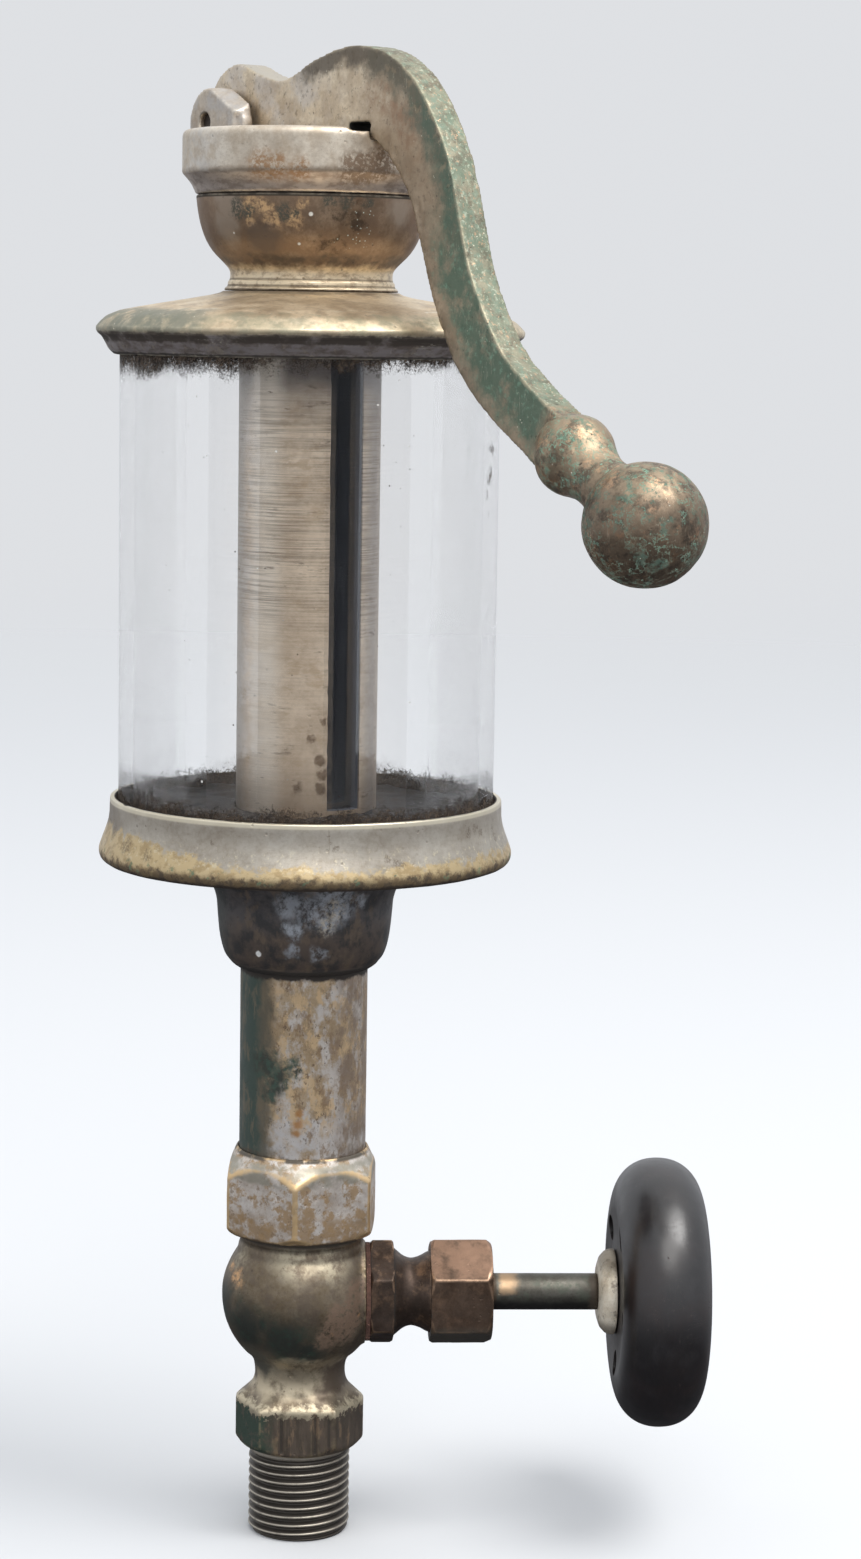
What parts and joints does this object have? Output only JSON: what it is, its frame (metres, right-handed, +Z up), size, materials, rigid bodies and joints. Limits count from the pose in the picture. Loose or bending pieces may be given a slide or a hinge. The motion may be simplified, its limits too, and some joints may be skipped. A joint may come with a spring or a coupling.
{
  "type": "hand oil pump",
  "caption": "Brass hand oil pump with a sight-glass reservoir, hinged ball lever, hexagon coupling and a screw-down shut-off valve with a hand wheel on a threaded shank.",
  "frame": {"origin": "centre of the lower end face of the threaded shank", "axes": "+Z up along the axis of the shank, pump barrel and reservoir; +X the way the lever reaches, the lever lies in the XZ plane"},
  "size_m": [0.1631, 0.1254, 0.3041],
  "materials": {
    "aged_brass": "tarnished, with brown and green patches",
    "worn_nickel": "worn nickel plate, stained tan and brown",
    "steel": "oily, dull",
    "gasket": "dark, oil soaked",
    "leather": "oil soaked",
    "black_composition": "moulded, worn, soft shine",
    "clear_glass": "clear with a faint haze and dark smears"
  },
  "bodies": {
    "housing": {"valve_body": "aged_brass", "coupling": "worn_nickel", "barrel": "worn_nickel", "check_seat": "aged_brass", "check_spring": "steel", "base_cup": "worn_nickel", "base_gasket": "gasket", "glass": "clear_glass", "top_gasket": "gasket", "cover": "aged_brass", "filler_bowl": "aged_brass", "cap": "worn_nickel", "centre_tube": "worn_nickel", "hinge_pin": "steel", "bonnet_washer": "gasket", "bonnet": "aged_brass", "stem_packing": "gasket", "gland": "aged_brass", "packing_nut": "aged_brass"},
    "lever_arm": {"lever": "aged_brass"},
    "plunger_unit": {"plunger_rod": "steel", "rod_pin": "steel", "plunger": "aged_brass", "cup_leather": "leather", "follower_washer": "aged_brass", "plunger_nut": "aged_brass"},
    "ball": {"check_ball": "steel"},
    "disc": {"valve_disc": "aged_brass"},
    "stem_unit": {"valve_stem": "aged_brass", "wheel_washer": "worn_nickel", "handwheel": "black_composition", "wheel_nut": "aged_brass"}
  },
  "joints": [
    {"name": "lever_hinge", "type": "hinge", "parent": "housing", "child": "lever_arm", "pos_m": [-0.0284, 0, 0.2909], "axis": [0, -1, 0], "range_deg": [0, 48]},
    {"name": "plunger_slide", "type": "slide", "parent": "housing", "child": "plunger_unit", "axis": [0, 0, 1], "range_m": [0, 0.0254]},
    {"name": "check_lift", "type": "slide", "parent": "housing", "child": "ball", "axis": [0, 0, -1], "range_m": [0, 0.0015], "stiffness_N_per_m": 200, "springref_m": -0.001, "deforming": ["check_spring"]},
    {"name": "valve_travel", "type": "slide", "parent": "housing", "child": "disc", "axis": [0.5299, 0.848, 0], "range_m": [0, 0.00401]},
    {"name": "valve_turn", "type": "hinge", "parent": "disc", "child": "stem_unit", "pos_m": [0, 0, 0.0507], "axis": [0.5299, 0.848, 0], "range_deg": [0, 720]}
  ],
  "couplings": [
    {"joint": "plunger_slide", "follows": "lever_hinge", "m_per_rad": 0.03019},
    {"joint": "valve_travel", "follows": "valve_turn", "m_per_rad": 0.00031831}
  ]
}
